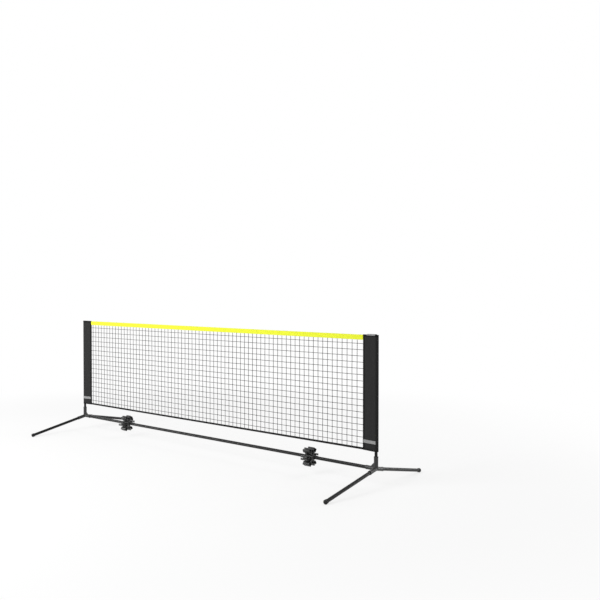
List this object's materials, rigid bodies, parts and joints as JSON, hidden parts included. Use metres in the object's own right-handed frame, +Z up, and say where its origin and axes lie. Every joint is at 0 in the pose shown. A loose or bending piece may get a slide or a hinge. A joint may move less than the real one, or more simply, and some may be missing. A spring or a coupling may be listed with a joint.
{
  "type": "portable sports net",
  "caption": "Free-standing portable net: yellow-taped mesh between fabric side sleeves on telescoping posts, with a low ground bar, splayed legs and pole storage hubs.",
  "frame": {"origin": "on the floor, midway between the two posts", "axes": "X along the ground bar, Y across it from the front legs to the rear legs, Z up"},
  "size_m": [3.032, 1.0336, 0.93],
  "materials": {
    "tube_paint": "satin black powder coat on steel tube",
    "frame_plastic": "fine-grained dark grey moulded plastic",
    "inner_plastic": "plain black moulded plastic",
    "foot_rubber": "matt black rubber",
    "splice_steel": "plain steel tube",
    "net_twine": "thin black knotted twine",
    "tape_yellow": "bright yellow woven tape",
    "black_cord": "black braided cord and tape",
    "sleeve_cloth": "charcoal woven polyester",
    "patch_cloth": "plain mid-grey woven patch"
  },
  "bodies": {
    "frame": {"bar_ferrule": "splice_steel", "left_corner_connector": "frame_plastic", "left_end_bar": "tube_paint", "left_front_foot": "foot_rubber", "left_front_leg": "tube_paint", "left_lower_post": "tube_paint", "left_middle_bar": "tube_paint", "left_rear_foot": "foot_rubber", "left_rear_leg": "tube_paint", "left_storage_hub": "frame_plastic", "right_corner_connector": "frame_plastic", "right_end_bar": "tube_paint", "right_front_foot": "foot_rubber", "right_front_leg": "tube_paint", "right_lower_post": "tube_paint", "right_middle_bar": "tube_paint", "right_rear_foot": "foot_rubber", "right_rear_leg": "tube_paint", "right_storage_hub": "frame_plastic"},
    "left_raised": {"left_upper_post": "tube_paint", "left_lock_plug": "inner_plastic", "left_top_plug": "inner_plastic", "net_mesh": "net_twine", "top_tape": "tape_yellow", "headline_cord": "black_cord", "bottom_hem": "black_cord", "left_side_sleeve": "sleeve_cloth", "right_side_sleeve": "sleeve_cloth", "left_label_patch": "patch_cloth", "right_label_patch": "patch_cloth"},
    "right_raised": {"right_upper_post": "tube_paint", "right_lock_plug": "inner_plastic", "right_top_plug": "inner_plastic"},
    "left_cam": {"left_lock_cam": "inner_plastic"},
    "right_cam": {"right_lock_cam": "inner_plastic"}
  },
  "joints": [
    {"name": "left_height", "type": "slide", "parent": "frame", "child": "left_raised", "axis": [0, 0, 1], "range_m": [0, 0.43]},
    {"name": "right_height", "type": "slide", "parent": "frame", "child": "right_raised", "axis": [0, 0, 1], "range_m": [0, 0.43]},
    {"name": "left_lock_turn", "type": "hinge", "parent": "left_raised", "child": "left_cam", "pos_m": [-1.5, 0.0009, 0.148], "axis": [0, 0, 1], "range_deg": [0, 58]},
    {"name": "right_lock_turn", "type": "hinge", "parent": "right_raised", "child": "right_cam", "pos_m": [1.5, 0.0009, 0.148], "axis": [0, 0, 1], "range_deg": [0, 58]}
  ],
  "couplings": [
    {"joint": "right_height", "follows": "left_height", "ratio": 1}
  ]
}
